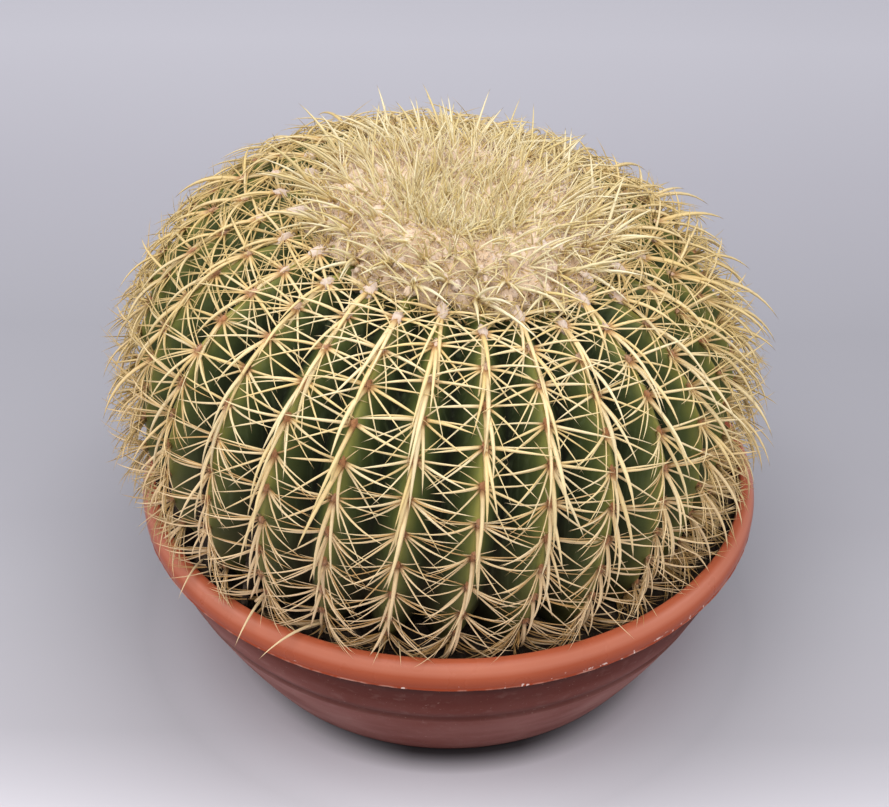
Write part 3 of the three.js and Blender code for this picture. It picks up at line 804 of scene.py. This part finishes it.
def make_crumbs(surface):
    """Loose crumbs that lie half sunk in the soil's surface."""
    draw = np.random.default_rng(61)
    octahedron = np.array([[1, 0, 0], [0, 1, 0], [-1, 0, 0], [0, -1, 0], [0, 0, 1], [0, 0, -1]])
    shell = np.array([
        [0, 1, 4], [1, 2, 4], [2, 3, 4], [3, 0, 4], [1, 0, 5], [2, 1, 5], [3, 2, 5], [0, 3, 5],
    ])
    centre = surface[draw.integers(0, len(surface), SOIL_CRUMBS)]
    size = draw.uniform(0.5, 1.0, SOIL_CRUMBS) ** 2 * CRUMB_SIZE
    turns = draw.uniform(0, math.tau, SOIL_CRUMBS)[:, None]
    shape = octahedron * draw.uniform(0.6, 1.1, (SOIL_CRUMBS, 6, 1))
    x, y, z = np.moveaxis(shape @ np.array(Matrix.Rotation(0.6, 3, (1, 0.4, 0.2))), -1, 0)
    along, across = x * np.cos(turns) - y * np.sin(turns), x * np.sin(turns) + y * np.cos(turns)
    points = centre[:, None] + np.stack([along, across, z], axis=-1) * size[:, None, None]
    faces = shell + 6 * np.arange(SOIL_CRUMBS)[:, None, None]
    return make_mesh("soil_crumbs", points.reshape(-1, 3), [faces.reshape(-1, 3)], smooth=False)


# Spines


def make_tubes(name, node, material, paths, radii, reference, sides, flatness, values):
    """Tubes along middle lines, closed at the root and drawn to a tip."""
    tangent = unit(np.gradient(paths, axis=1))
    across = unit(np.cross(tangent, reference[:, None]))[:, :, None]
    over = np.cross(across[:, :, 0], tangent)[:, :, None]
    turn = full_turn(sides)[:, None]
    ring = across * np.cos(turn) + over * np.sin(turn) * flatness
    bodies = paths[:, :-1, None] + radii[:, :-1, None, None] * ring[:, :-1]
    along = np.append(np.repeat(np.linspace(0, 1, paths.shape[1])[:-1], sides), 1.0)
    make_copies(name, node, material, bodies, paths[:, -1], values, along)


def curved_paths(roots, start, end, length, steps):
    """Middle lines that leave along one direction and arrive along the other."""
    share = np.linspace(0, 1, steps)
    leaving, arriving = share - share**2 / 2, share**2 / 2
    bend = start[:, None] * leaving[:, None] + end[:, None] * arriving[:, None]
    return roots[:, None] + length[:, None, None] * bend


def taper(width, steps):
    share = np.linspace(0, 1, steps)
    foot = 1 + 0.3 * np.exp(-((share / 0.06) ** 2))
    return width[:, None] * foot * (1 - 0.3 * share) * (1 - share**3.2)


def pointing(frames, bearing, rise):
    """Directions at a bearing from straight down the rib, raised off the skin."""
    _, out, down, side = frames
    flat = down * np.cos(bearing)[:, None] + side * np.sin(bearing)[:, None]
    return flat * np.cos(rise)[:, None] + out * np.sin(rise)[:, None]


def pot_room(points):
    """Room from a point to the soil below or to the rim, in millimetres."""
    radius = np.hypot(points[..., 0], points[..., 1])
    over_rim = radius > RIM_RADIUS - RIM_WIDTH - 3
    floor = np.where(over_rim, BOWL_HEIGHT, SOIL_SURFACE)
    return np.maximum(points[..., 2] - floor, radius - RIM_RADIUS)


def clear_of_pot(roots, start, end, length, width, steps):
    """Turns spines that would run into the soil or rim upwards, and shortens the last of them."""
    start, end, length = start.copy(), end.copy(), length.copy()
    away = unit(roots * [1, 1, 0]) * 0.6 + [0, 0, 0.8]
    for attempt in range(CLEARING_TURNS):
        paths = curved_paths(roots, start, end, length, steps)
        low = pot_room(paths[:, 2:]).min(axis=1) < width + 0.3
        if not low.any():
            break
        start[low] = unit(start[low] + 0.10 * away[low])
        end[low] = unit(end[low] + 0.15 * away[low])
        if attempt >= FULL_LENGTH_TURNS:
            length[low] *= 0.88
    return curved_paths(roots, start, end, length, steps)


# One spine, one on either side at random or one on both; the share of areoles that have it; its
# bearing from straight down and the spread of that; its rise at root and tip; length; half width
CENTRAL_KINDS = (
    ("one", 1.00, 0.00, 0.06, 0.42, -0.50, 49.0, 1.40),
    ("either", 0.95, 0.12, 0.08, 0.50, -0.40, 42.0, 1.10),
    ("both", 0.92, 1.34, 0.10, 0.52, -0.26, 34.0, 0.90),
)
RADIAL_KINDS = (
    ("both", 0.55, 0.50, 0.09, 0.34, -0.10, 31.0, 0.52),
    ("both", 0.95, 0.86, 0.08, 0.36, -0.14, 33.5, 0.66),
    ("both", 0.45, 1.06, 0.08, 0.34, -0.12, 32.0, 0.52),
    ("both", 0.95, 1.64, 0.08, 0.42, -0.20, 33.0, 0.70),
    ("both", 0.80, 2.35, 0.22, 0.46, 0.20, 17.0, 0.48),
)
FINE_KINDS = (
    ("both", 0.90, 0.35, 0.30, 0.45, 0.10, 23.0, 0.38),
    ("both", 0.90, 1.10, 0.35, 0.52, 0.20, 26.0, 0.38),
    ("both", 0.90, 1.75, 0.35, 0.58, 0.25, 24.0, 0.36),
    ("both", 0.90, 2.30, 0.40, 0.58, 0.30, 19.0, 0.34),
    ("both", 0.90, 2.85, 0.30, 0.62, 0.35, 18.0, 0.34),
)
THATCH_KINDS = (
    ("both", 0.94, 0.08, 0.10, 0.28, -0.12, 31.0, 0.92),
    ("both", 0.94, 0.42, 0.16, 0.34, -0.14, 30.0, 0.66),
    ("both", 0.94, 0.85, 0.16, 0.38, -0.16, 32.0, 0.58),
    ("both", 0.94, 1.25, 0.16, 0.40, -0.16, 33.5, 0.54),
    ("both", 0.94, 1.65, 0.16, 0.40, -0.10, 33.0, 0.50),
)
LOW_KINDS = (
    ("both", 0.90, 1.30, 0.22, 0.40, -0.10, 33.5, 0.56),
    ("both", 0.90, 1.75, 0.22, 0.40, -0.06, 33.0, 0.50),
)
CLEARING_TURNS = 14
FULL_LENGTH_TURNS = 8
LONG_SPINE = 34.0
LOW_THINNING = 0.22
UNEVEN_RISE = 0.12
UNEVEN_SWING = 0.13
FLATNESS = 0.8

# Root, tip, half width and bow of the spines that droop over the rim
STRAY_SPINES = (
    ((-91.2, -113.3, 112.0), (-109.6, -160.3, 110.0), 1.15, 6.0),
    ((-63.2, -140.4, 111.0), (-96.5, -170.3, 111.0), 1.05, 5.0),
    ((-129.9, -91.3, 113.0), (-142.2, -124.5, 111.0), 0.80, 5.0),
    ((-28.6, -148.8, 108.0), (-38.0, -174.7, 112.0), 0.42, 4.0),
    ((-25.4, -150.3, 108.0), (-23.2, -175.9, 112.0), 0.38, 4.0),
    ((-32.8, -147.3, 108.0), (-35.6, -170.7, 112.5), 0.34, 3.0),
)


def painted_front_light(azimuth):
    """How much painted light the spines take: full on the -Y side, none on the flanks and back."""
    return smoothstep(np.cos(azimuth), 0.15, 0.80)


def on_upper_left(azimuth, arc):
    return smoothstep(-np.sin(azimuth), 0.35, 0.85) * smoothstep(arc, 210, 160)


def standing_out(azimuth, arc):
    """Extra rise of the spines: more low down and on the flanks, less by the crown and upper left."""
    right = smoothstep(np.sin(azimuth), 0.4, 0.9) * smoothstep(arc, 90, 130)
    lower_left = smoothstep(-np.sin(azimuth), 0.5, 0.95) * smoothstep(arc, 190, 235)
    raised = 0.26 * smoothstep(arc, 130, 240) + 0.28 * right + 0.18 * lower_left
    return raised - 0.12 * smoothstep(arc, 130, 90) - 0.18 * on_upper_left(azimuth, arc)


def length_share(azimuth, arc, is_long):
    """Length against its table: less low down, and on the upper left less if long, or else more."""
    lower, upper_left = smoothstep(arc, 130, 260), on_upper_left(azimuth, arc)
    if is_long:
        return 1.06 - 0.22 * lower - 0.28 * smoothstep(arc, 208, 258) - 0.14 * upper_left
    return 1.04 - 0.10 * lower + 0.06 * upper_left


def make_spines(name, spots, kinds, sides, steps, seed, material):
    """Spines of grown areoles, varied at random about the table of their kinds."""
    draw = np.random.default_rng(seed)
    count = len(spots)
    azimuth, arc = rib_azimuth(spots[:, 0]), spots[:, 1]
    origin, out, down, right = frames = crest_frame(azimuth, arc)
    slender = 1 - LOW_THINNING * smoothstep(arc, 150, 260)
    # Age, and painted light that is full on the -Y side.
    ages, painted_light = smoothstep(arc, 90, 275), painted_front_light(azimuth)
    groups = []
    for where, present, bearing, spread, rise, final, length, width in kinds:
        stretch = length_share(azimuth, arc, length > LONG_SPINE)
        for mirror in ((1, -1) if where == "both" else (1,)):
            flip = draw.choice([-1.0, 1.0], count) if where == "either" else mirror
            keep = draw.uniform(0, 1, count) < present
            turn = flip * bearing + draw.normal(0, spread, count)
            lift = draw.normal(0, UNEVEN_RISE, count) + standing_out(azimuth, arc)
            swing = draw.normal(0, UNEVEN_SWING, count)
            foot = origin - out * 0.6
            foot = foot + down * (1.6 * np.cos(turn))[:, None]
            foot = foot + right * (1.5 * np.sin(turn))[:, None]
            columns = (
                foot,
                pointing(frames, turn, rise + lift),
                pointing(frames, turn + swing, final + lift),
                length * stretch * draw.uniform(0.86, 1.14, count),
                width * slender * draw.uniform(0.85, 1.12, count),
                draw.uniform(0, 1, count), ages, painted_light, out,
            )
            groups.append([column[keep] for column in columns])
    *path, width, tone, age, painted_light_share, reference = (np.concatenate(parts) for parts in zip(*groups))
    paths = clear_of_pot(*path, width, steps)
    values = {"age": age, "tone": tone, "painted_light": painted_light_share}
    radii = taper(width, steps)
    make_tubes(name, "cactus", material, paths, radii, reference, sides, FLATNESS, values)


def make_stray_spines(material):
    sides, steps = 6, 12
    count = len(STRAY_SPINES)
    roots, tips, width, bow = (np.array(column) for column in zip(*STRAY_SPINES))
    share = np.linspace(0, 1, steps)
    paths = roots[:, None] + (tips - roots)[:, None] * share[:, None]
    paths[..., 2] += bow[:, None] * 4 * share * (1 - share)
    # The stray spines take full painted light.
    values = {"age": np.full(count, 0.75), "tone": np.full(count, 0.9), "painted_light": np.ones(count)}
    upwards = np.tile([0, 0, 1], (count, 1))
    piece = "stray_spines", "cactus", material
    make_tubes(*piece, paths, taper(width, steps), upwards, sides, FLATNESS, values)


# Areole felt


def make_mounds(name, node, material, frames, size, values, draw):
    """Rough oval mounds of felt, longer down the rib than across it."""
    origin, out, down, side = (part[:, None, None] for part in frames)
    count, rings, sides = len(size), 4, 10
    turn = full_turn(sides)
    slope = np.linspace(0.0, 1.25, rings)[:, None]
    rough = draw.uniform(0.8, 1.2, (count, rings, sides)) * size[:, None, None]
    x = np.cos(slope) * np.cos(turn) * MOUND_HALF_WIDTH * rough
    y = np.cos(slope) * np.sin(turn) * MOUND_HALF_LENGTH * rough
    z = np.sin(slope) * MOUND_HEIGHT * rough - MOUND_SUNK * size[:, None, None]
    bodies = origin + side * x[..., None] + down * y[..., None] + out * z[..., None]
    tops = frames[0] + frames[1] * (MOUND_TOP * size)[:, None]
    make_copies(name, node, material, bodies, tops, values, turned=True)


def make_felt(material):
    """Oval felt pads on the crests, larger near the crown, ringed by short hairs."""
    draw = np.random.default_rng(12)
    spots = areoles()
    frames = crest_frame(rib_azimuth(spots[:, 0]), spots[:, 1])
    size = 2.15 - 1.10 * smoothstep(spots[:, 1], 86, 112)
    age = smoothstep(spots[:, 1], 86, 150)
    make_mounds("areole_felt", "cactus", material, frames, size, {"age": age}, draw)
    make_felt_hairs(frames, age, draw, material)


def make_felt_hairs(frames, age, draw, material):
    steps, sides = 3, 3
    hairs = origin, _, down, side = [np.repeat(part, AREOLE_HAIRS, axis=0) for part in frames]
    total = len(origin)
    turn = draw.uniform(0, math.tau, total)
    reach = draw.uniform(0.2, 1.0, total)
    across, along = 2.0 * reach * np.sin(turn), 3.4 * reach * np.cos(turn)
    roots = origin + side * across[:, None] + down * along[:, None]
    start = pointing(hairs, turn, draw.uniform(0.5, 1.3, total))
    end = unit(start + draw.normal(0, 0.5, (total, 3)))
    paths = curved_paths(roots, start, end, draw.uniform(1.4, 3.2, total), steps)
    radii = np.repeat(draw.uniform(0.10, 0.2, total)[:, None], steps, axis=1)
    values = {"age": np.repeat(age, AREOLE_HAIRS)}
    make_tubes("areole_hairs", "cactus", material, paths, radii, side, sides, 1.0, values)


# Crown


def young_areoles():
    """Azimuth and arc of the areoles still forming in the crown."""
    found = []
    for row, arc in enumerate(YOUNG_ARCS):
        found += [(rib_azimuth(rib), arc) for rib in range(RIBS) if (rib + row) % 2 == 1]
    return np.array(found)


def wool_lift(arc):
    """Height of the wool over the rib crests, highest in a ring round its middle."""
    ring = 3.5 * np.exp(-(((arc - WOOL_RING_ARC) / 18) ** 2))
    lift = WOOL_THICKNESS * (1 - 0.6 * smoothstep(arc, WOOL_RING_ARC, 74)) + ring
    return lift * (1 - smoothstep(arc, 70, WOOL_EDGE_ARC + 3))


def make_wool(material):
    """The crown's felt: tufted above, ragged at its edge, and lying on the skin."""
    columns, rows = 280, 38
    azimuth = full_turn(columns)
    arcs = np.linspace(2, FELT_EDGE_ARC, rows)
    grid_arc, grid_azimuth = grid(arcs, azimuth)
    ragged = 0.10 * np.tile(noise_at(around(azimuth) * 70, 6.0, 21), rows)
    grid_arc = grid_arc * (1 + ragged * smoothstep(grid_arc, 30, FELT_EDGE_ARC))
    origin, out = crest_frame(grid_azimuth, grid_arc)[:2]
    way = rib_position(grid_azimuth)[1]
    valley = 0.8 * valley_depth(grid_arc) * way * smoothstep(grid_arc, 30, 80)
    tufts = noise_at(origin, 9.0, 15) * 2.2 + noise_at(origin, 3.2, 16) * 0.9
    inner = np.repeat(smoothstep(arcs, FELT_EDGE_ARC + 4, FELT_EDGE_ARC - 10), columns)
    lift = (wool_lift(grid_arc) - valley) * inner - 1.5 * (1 - inner)
    over = origin + out * (lift + tufts * inner)[:, None]
    under = flesh_surface(grid_azimuth, grid_arc, 0.2) - out * 1.2
    flipped = under.reshape(rows, columns, 3)[::-1].reshape(-1, 3)
    middle = crest_frame(0.0, 0.0)[0]
    points = np.vstack([over, flipped, middle + [0, 0, WOOL_THICKNESS], middle - [0, 0, 1.2]])
    upper_shade = 0.12 + 0.20 * inner + 0.12 * tufts
    shade = np.concatenate([upper_shade, np.zeros(rows * columns), [0.4, 0.0]])
    wool = make_mesh("crown_felt", points, skin_faces(2 * rows, columns), {"shade": shade})
    dress(wool, "crown_wool", material)


def make_crown_tufts(material):
    """Paler tufts where the young areoles push out of the wool."""
    draw = np.random.default_rng(19)
    spots = young_areoles()
    spots = np.repeat(spots[spots[:, 1] > 36], 2, axis=0)
    azimuth, arc = (spots + draw.normal(0, 1, spots.shape) * [0.05, 2.5]).T
    origin, out, down, side = crest_frame(azimuth, arc)
    origin = origin + out * (0.8 * wool_lift(arc) + 0.4)[:, None]
    size = draw.uniform(1.0, 1.8, len(spots))
    values = {"shade": draw.uniform(0.45, 0.85, len(spots))}
    frames = origin, out, down, side
    make_mounds("crown_tufts", "crown_wool", material, frames, size, values, draw)


def make_wool_fibres(material):
    """Loose curled fibres that stand out of the felt."""
    draw = np.random.default_rng(31)
    steps, sides = 4, 3
    azimuth = draw.uniform(0, math.tau, WOOL_FIBRES)
    arc = WOOL_EDGE_ARC * np.sqrt(draw.uniform(0.01, 1.05, WOOL_FIBRES))
    origin, out, _, side = crest_frame(azimuth, arc)
    roots = origin + out * (wool_lift(arc) - 0.6)[:, None]
    start = unit(out + draw.normal(0, 0.55, (WOOL_FIBRES, 3)))
    end = unit(out * 0.3 + draw.normal(0, 0.8, (WOOL_FIBRES, 3)))
    paths = curved_paths(roots, start, end, draw.uniform(3.0, 7.5, WOOL_FIBRES), steps)
    radii = np.repeat(draw.uniform(0.14, 0.30, WOOL_FIBRES)[:, None], steps, axis=1)
    values = {"shade": draw.uniform(0.25, 1.0, WOOL_FIBRES)}
    make_tubes("crown_fibres", "crown_wool", material, paths, radii, side, sides, 1.0, values)


def make_crown_underfur(material):
    """Short golden spines that fill the crown between the long ones."""
    draw = np.random.default_rng(73)
    count, steps, sides = UNDERFUR_SPINES, 5, 4
    azimuth = draw.uniform(0, math.tau, count)
    arc = UNDERFUR_ARC * np.sqrt(draw.uniform(0.08, 1.0, count))
    frames = crest_frame(azimuth, arc)
    depth = valley_depth(arc) * rib_position(azimuth)[1]
    roots = frames[0] + frames[1] * (0.4 * wool_lift(arc) - 0.5 * depth)[:, None]
    start = pointing(frames, draw.normal(0, 1.3, count), draw.uniform(0.35, 1.2, count))
    end = unit(start + draw.normal(0, 0.35, (count, 3)))
    length = draw.uniform(9, 19, count)
    radii = taper(draw.uniform(0.26, 0.46, count), steps)
    paths = curved_paths(roots, start, end, length, steps)
    # The underfur takes painted light at random, up to 0.7.
    highest = {"age": 0.6, "tone": 1, "painted_light": 0.7}
    values = {key: draw.uniform(0, high, count) for key, high in highest.items()}
    piece = "crown_underfur", "crown_wool", material
    make_tubes(*piece, paths, radii, frames[3], sides, CROWN_FLATNESS, values)


def ring_spines(draw):
    """Spines of the young areoles, shorter and finer towards the crown's middle."""
    spots = np.repeat(young_areoles(), YOUNG_SPINES, axis=0)
    total = len(spots)
    central = np.arange(total) % YOUNG_SPINES < YOUNG_CENTRAL_SPINES
    azimuth = spots[:, 0] + draw.normal(0, 0.02, total)
    arc = spots[:, 1] + draw.normal(0, 1.5, total)
    frames = crest_frame(azimuth, arc)
    share = np.clip(arc / WOOL_EDGE_ARC, 0, 1)
    bearing = draw.normal(0, 0.75, total) + np.where(central, 0, draw.normal(0, 1.3, total))
    rise = 1.18 - np.where(central, 0.46, 0.38) * share + draw.normal(0, 0.26, total)
    length = np.where(central, 20 + 14 * share + 9 * share**4, 14 + 10 * share)
    width = np.where(central, 0.56 + 0.30 * share + 0.34 * share**4, 0.40 + 0.18 * share)
    return (
        frames[0] + frames[1] * (0.5 * wool_lift(arc))[:, None],
        pointing(frames, bearing, rise),
        pointing(frames, bearing * 0.85, rise - 0.30 - 0.25 * share),
        length * draw.uniform(0.70, 1.10, total),
        width * draw.uniform(0.85, 1.15, total),
        frames[3],
        # painted light, never under 0.4 in the crown
        0.4 + 0.6 * painted_front_light(azimuth),
    )


def tuft_spines(draw):
    """Spines crowded in the middle of the crown, a little to the front."""
    count = TUFT_SPINES
    away = TUFT_RADIUS * np.sqrt(draw.uniform(0, 1, count))
    about = draw.uniform(0, math.tau, count)
    across, forward = away * np.sin(about), away * np.cos(about) + TUFT_FORWARD
    origin, out, _, side = crest_frame(np.arctan2(across, forward), np.hypot(across, forward))
    start = unit(out + draw.normal(0, 0.46, (count, 3)))
    end = unit(start + draw.normal(0, 0.2, (count, 3)))
    length = draw.uniform(13, 25, count)
    width = draw.uniform(0.42, 0.76, count)
    return origin, start, end, length, width, side, np.ones(count)


def make_young_spines(material):
    """Upright golden spines of the crown."""
    draw = np.random.default_rng(47)
    steps, sides = 7, 5
    groups = ring_spines(draw), tuft_spines(draw)
    *path, width, side, painted_light = (np.concatenate(parts) for parts in zip(*groups))
    total = len(width)
    values = {"age": np.zeros(total), "tone": draw.uniform(0, 1, total), "painted_light": painted_light}
    paths, radii = curved_paths(*path, steps), taper(width, steps)
    piece = "young_spines", "crown_wool", material
    make_tubes(*piece, paths, radii, side, sides, CROWN_FLATNESS, values)


# Studio


def make_floor():
    rim = around(full_turn(FLOOR_SIDES)) * FLOOR_RADIUS
    floor = make_mesh("studio_floor", rim, [np.arange(FLOOR_SIDES)[None]], smooth=False)
    floor.data.materials.append(paper_material())


def make_lights():
    world = bpy.data.worlds.new("studio_air")
    bpy.context.scene.world = world
    world.use_nodes = True
    air = world.node_tree.nodes["Background"].inputs
    air["Color"].default_value, air["Strength"].default_value = AIR_COLOUR, AIR_STRENGTH
    for name, place, size, power in SOFTBOXES:
        light = bpy.data.lights.new(name, "AREA")
        light.shape, light.energy = "RECTANGLE", power
        light.size, light.size_y = size
        lamp = add_object(name, light)
        lamp.location = place
        aim = Vector(LIGHT_AIM) - Vector(place)
        lamp.rotation_euler = aim.to_track_quat("-Z", "Y").to_euler()


def make_camera():
    data = bpy.data.cameras.new("studio_camera")
    data.lens, data.sensor_width = CAMERA_LENS, SENSOR_WIDTH
    data.clip_start, data.clip_end = 0.05, 50.0
    camera = add_object("studio_camera", data)
    forward = (Vector(CAMERA_TARGET) - Vector(CAMERA_PLACE)).normalized()
    right = Vector((1, 0, 0))
    up = right.cross(forward)
    rolled_right = right * math.cos(CAMERA_ROLL) + up * math.sin(CAMERA_ROLL)
    rolled_up = up * math.cos(CAMERA_ROLL) - right * math.sin(CAMERA_ROLL)
    axes = Matrix((rolled_right, rolled_up, -forward)).transposed()
    camera.matrix_world = Matrix.Translation(CAMERA_PLACE) @ axes.to_4x4()
    bpy.context.scene.camera = camera


make_camera()
make_floor()
make_lights()
bpy.context.scene.view_settings.view_transform = "Standard"

make_bowl(bowl_material())
make_soil(soil_material())
make_flesh(flesh_material())

GOLD, CREAM = (0.79, 0.59, 0.25), (0.85, 0.71, 0.43)
TAN, PALE, STRAW = (0.59, 0.37, 0.14), (0.78, 0.555, 0.315), (0.52, 0.295, 0.10)
central_spine = spine_material("central_spine", GOLD, CREAM, PALE, 0.35)
radial_spine = spine_material("radial_spine", GOLD, CREAM, PALE, 0.80)
fine_spine = spine_material("fine_spine", (0.66, 0.46, 0.17), (0.76, 0.59, 0.29), TAN, 0.85)
lowest_spine = spine_material("lowest_spine", TAN, (0.72, 0.49, 0.23), STRAW, 0.60)
underfur = spine_material("crown_underfur", (0.73, 0.545, 0.21), (0.81, 0.67, 0.35), TAN, 0.25)
young_spine = spine_material("young_spine", (0.72, 0.58, 0.25), (0.89, 0.82, 0.58), TAN, 0.35)

spots = areoles()
# Fine spines go on the flanks, where the painted front light is weak.
flanks = spots[painted_front_light(rib_azimuth(spots[:, 0])) < 0.75]
low_down = spots[spots[:, 1] > 185]
by_the_soil = areoles(SOIL_TOP, SOIL_SURFACE + 17, crowded=True)
make_spines("central_spines", spots, CENTRAL_KINDS, 6, 9, 101, central_spine)
make_spines("radial_spines", spots, RADIAL_KINDS, 5, 7, 202, radial_spine)
make_spines("fine_spines", flanks, FINE_KINDS, 4, 6, 404, fine_spine)
make_spines("lowest_spines", by_the_soil, THATCH_KINDS, 5, 7, 303, lowest_spine)
make_spines("low_spines", low_down, LOW_KINDS, 5, 7, 505, lowest_spine)
make_stray_spines(central_spine)

make_felt(wool_material(
    "areole_felt", "age",
    (0.0, (0.72, 0.58, 0.48)), (0.5, (0.62, 0.42, 0.28)), (1.0, (0.42, 0.19, 0.08)),
))
wool = wool_material(
    "crown_wool", "shade",
    (0.0, (0.52, 0.36, 0.20)), (0.40, (0.77, 0.59, 0.43)), (1.0, (0.87, 0.74, 0.66)),
)
make_wool(wool)
make_crown_tufts(wool)
make_wool_fibres(wool)
make_crown_underfur(underfur)
make_young_spines(young_spine)
